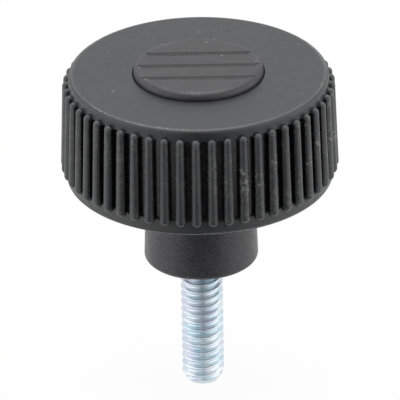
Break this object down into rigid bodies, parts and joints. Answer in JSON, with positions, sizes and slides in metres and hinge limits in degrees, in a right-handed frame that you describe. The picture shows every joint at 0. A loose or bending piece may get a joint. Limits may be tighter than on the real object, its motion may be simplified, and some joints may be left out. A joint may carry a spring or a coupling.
{
  "type": "knurled knob",
  "caption": "Round hand knob with a ribbed grip, clip-in cover cap, hub and a threaded steel stud that points down.",
  "frame": {"origin": "centre of the hub's lower face, which seats on the work", "axes": "+Z along the stud's axis, from the stud's tip up through the head; the step lines on the cover cap run nearly along X"},
  "size_m": [0.04, 0.04, 0.051],
  "materials": {
    "knob_plastic": "moulded, finely textured, satin black",
    "cap_plastic": "moulded, smooth, satin black",
    "stud_steel": "zinc plated, bright, slightly blue"
  },
  "bodies": {
    "root": {"knob_body": "knob_plastic", "cover_cap": "cap_plastic", "threaded_stud": "stud_steel"}
  },
  "joints": []
}
